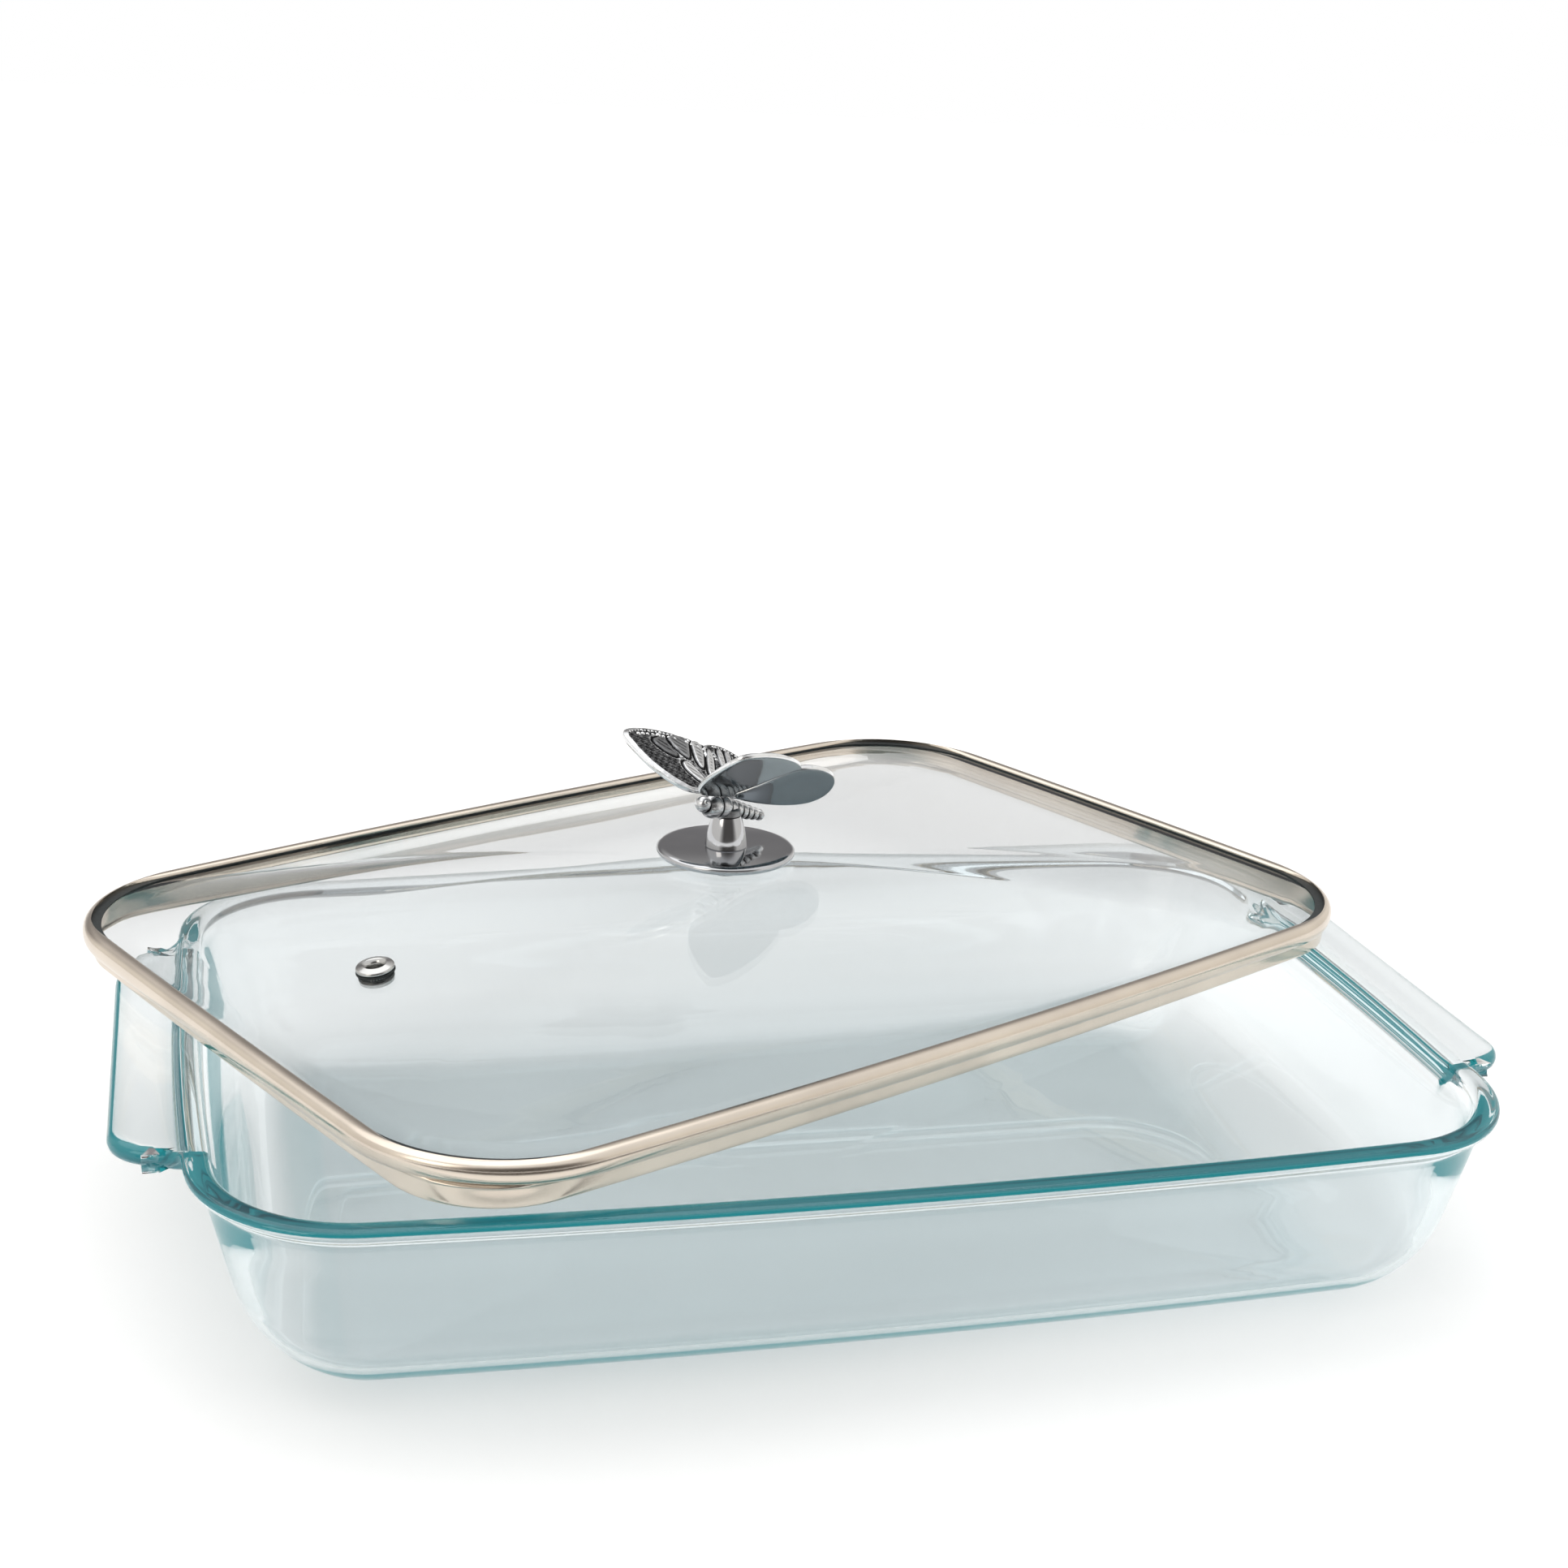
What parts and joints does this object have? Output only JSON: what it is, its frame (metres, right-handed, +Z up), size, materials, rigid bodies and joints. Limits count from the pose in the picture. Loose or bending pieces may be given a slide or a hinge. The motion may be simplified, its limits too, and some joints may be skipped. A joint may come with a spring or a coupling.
{
  "type": "covered baking dish",
  "caption": "Oblong glass baking dish with wide end handles and a domed glass lid in a steel band, with a steam vent and a cast butterfly knob on a round disc.",
  "frame": {"origin": "centre of the dish's flat base, on the surface it stands on", "axes": "+Z up, +X along the dish towards its right-hand handle, +Y away from the viewer across the dish"},
  "size_m": [0.3988, 0.3392, 0.1296],
  "materials": {
    "dish_glass": "smooth pressed glass, blue-green at its edges",
    "lid_glass": "smooth tempered glass",
    "band_steel": "satin, roll formed",
    "silicone": "matt silicone",
    "vent_steel": "polished stainless steel",
    "knob_metal": "polished",
    "cast_pewter": "cast, polished high spots over blackened recesses",
    "screw_steel": "satin stainless steel"
  },
  "bodies": {
    "dish": {"baking_dish": "dish_glass"},
    "lid": {"lid_pane": "lid_glass", "lid_band": "band_steel", "band_seal": "silicone", "vent_eyelet": "vent_steel", "vent_bush": "silicone", "vent_washer": "vent_steel", "knob_disc": "knob_metal", "knob_stem": "knob_metal", "butterfly": "cast_pewter", "upper_pad": "silicone", "lower_pad": "silicone", "screw_washer": "screw_steel", "knob_screw": "screw_steel"}
  },
  "joints": [
    {"name": "lid_lift", "type": "slide", "parent": "dish", "child": "lid", "axis": [0, 0, 1], "range_m": [0, 0.12]}
  ]
}
